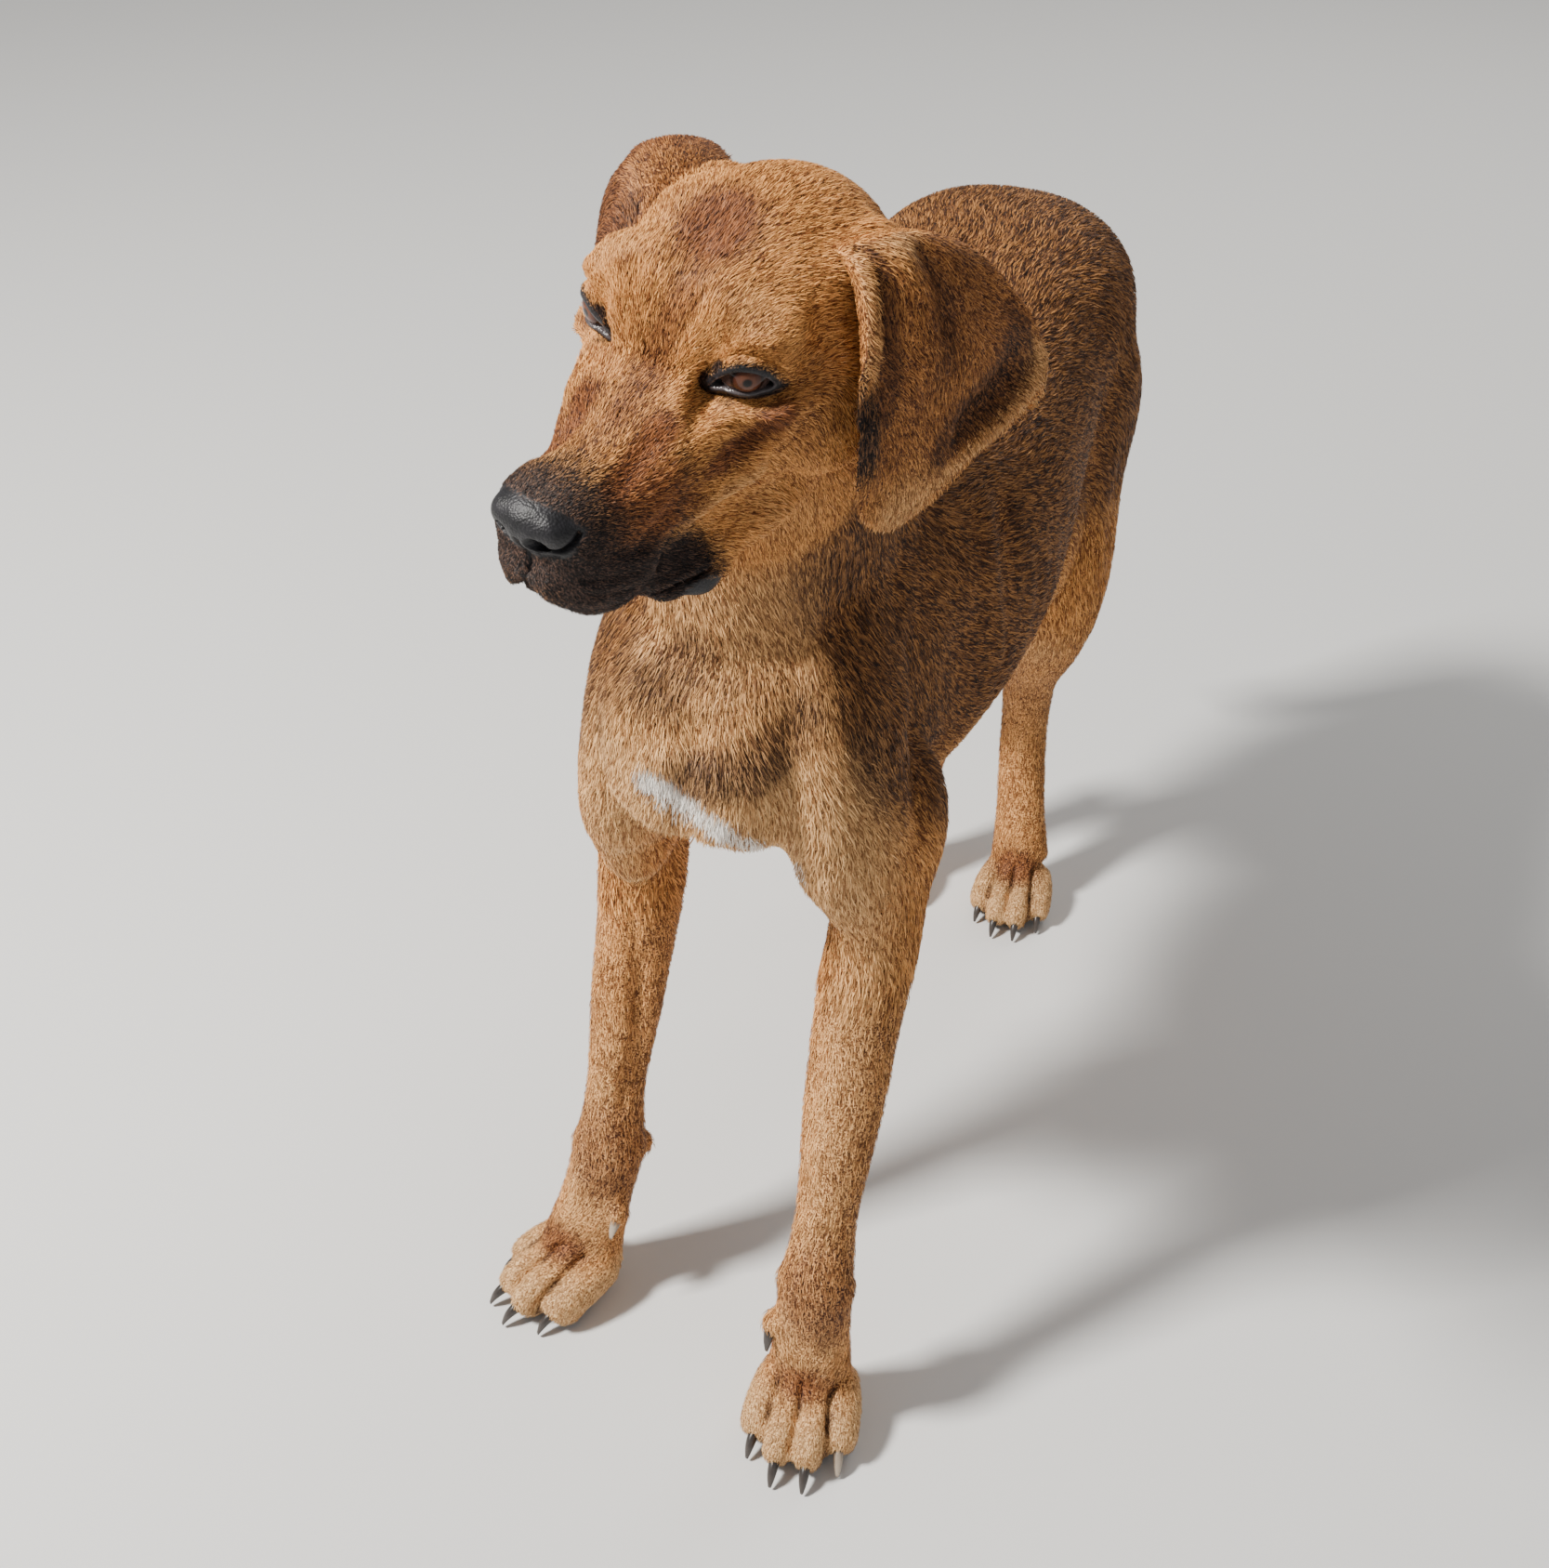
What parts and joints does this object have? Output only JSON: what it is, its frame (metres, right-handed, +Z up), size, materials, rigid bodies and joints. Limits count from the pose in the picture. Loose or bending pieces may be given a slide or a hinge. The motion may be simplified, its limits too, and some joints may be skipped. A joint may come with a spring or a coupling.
{
  "type": "dog",
  "caption": "Still life-size model of a short-haired, drop-eared hound-type dog standing on all fours with its head turned to its right.",
  "frame": {"origin": "on the floor under the middle of the bounding box", "axes": "+Z up, -Y towards the dog's nose end, +X towards its left side"},
  "size_m": [0.2704, 0.7602, 0.7021],
  "materials": {
    "coat_fawn": "short flat red-fawn hair over skin",
    "coat_sable": "short flat red-brown hair with dark tips over skin",
    "coat_cream": "short flat pale fawn hair over skin",
    "nose_leather": "moist pebbled black leather",
    "eye_wet": "wet glossy brown eye",
    "claw_horn": "worn dark horn"
  },
  "bodies": {
    "root": {"belly": "coat_sable", "chest": "coat_cream", "head": "coat_fawn", "left_dewclaw": "claw_horn", "left_ear": "coat_sable", "left_eye": "eye_wet", "left_fore_claw_1": "claw_horn", "left_fore_claw_2": "claw_horn", "left_fore_claw_3": "claw_horn", "left_fore_claw_4": "claw_horn", "left_foreleg": "coat_cream", "left_forepaw": "coat_cream", "left_hind_claw_1": "claw_horn", "left_hind_claw_2": "claw_horn", "left_hind_claw_3": "claw_horn", "left_hind_claw_4": "claw_horn", "left_hindleg": "coat_cream", "left_hindpaw": "coat_cream", "left_shoulder": "coat_fawn", "left_thigh": "coat_sable", "lower_jaw": "coat_fawn", "neck": "coat_sable", "nose": "nose_leather", "right_dewclaw": "claw_horn", "right_ear": "coat_sable", "right_eye": "eye_wet", "right_fore_claw_1": "claw_horn", "right_fore_claw_2": "claw_horn", "right_fore_claw_3": "claw_horn", "right_fore_claw_4": "claw_horn", "right_foreleg": "coat_cream", "right_forepaw": "coat_cream", "right_hind_claw_1": "claw_horn", "right_hind_claw_2": "claw_horn", "right_hind_claw_3": "claw_horn", "right_hind_claw_4": "claw_horn", "right_hindleg": "coat_cream", "right_hindpaw": "coat_cream", "right_shoulder": "coat_fawn", "right_thigh": "coat_sable", "rump": "coat_sable", "tail_middle": "coat_sable", "tail_root": "coat_sable", "tail_tip": "coat_sable"}
  },
  "joints": []
}
